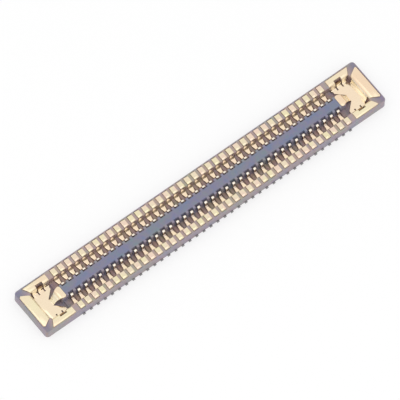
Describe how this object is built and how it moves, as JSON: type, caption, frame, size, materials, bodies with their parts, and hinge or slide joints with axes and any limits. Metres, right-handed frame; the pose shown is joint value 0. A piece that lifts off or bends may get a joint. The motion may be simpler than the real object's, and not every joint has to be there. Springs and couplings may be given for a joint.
{
  "type": "fpc connector",
  "caption": "Low two-row receptacle that joins a flexible circuit to a board, with formed spring contacts, a central island and folded metal end fittings.",
  "frame": {"origin": "centre of the seating plane, at the bottom of the housing", "axes": "+X along the contact rows, +Y across the rows, +Z out of the board towards the mating plug"},
  "size_m": [0.017, 0.0024, 0.0005],
  "materials": {
    "housing": "moulded, satin",
    "contact": "thin gold plating over nickel, satin",
    "fitting": "thin gold plating over nickel, smooth"
  },
  "bodies": {
    "root": {"housing": "housing", "end_fitting_left": "fitting", "end_fitting_right": "fitting", "contact_pair_01": "contact", "contact_pair_02": "contact", "contact_pair_03": "contact", "contact_pair_04": "contact", "contact_pair_05": "contact", "contact_pair_06": "contact", "contact_pair_07": "contact", "contact_pair_08": "contact", "contact_pair_09": "contact", "contact_pair_10": "contact", "contact_pair_11": "contact", "contact_pair_12": "contact", "contact_pair_13": "contact", "contact_pair_14": "contact", "contact_pair_15": "contact", "contact_pair_16": "contact", "contact_pair_17": "contact", "contact_pair_18": "contact", "contact_pair_19": "contact", "contact_pair_20": "contact", "contact_pair_21": "contact", "contact_pair_22": "contact", "contact_pair_23": "contact", "contact_pair_24": "contact", "contact_pair_25": "contact", "contact_pair_26": "contact", "contact_pair_27": "contact", "contact_pair_28": "contact", "contact_pair_29": "contact", "contact_pair_30": "contact", "contact_pair_31": "contact", "contact_pair_32": "contact", "contact_pair_33": "contact", "contact_pair_34": "contact", "contact_pair_35": "contact", "contact_pair_36": "contact", "contact_pair_37": "contact", "contact_pair_38": "contact", "contact_pair_39": "contact"}
  },
  "joints": []
}
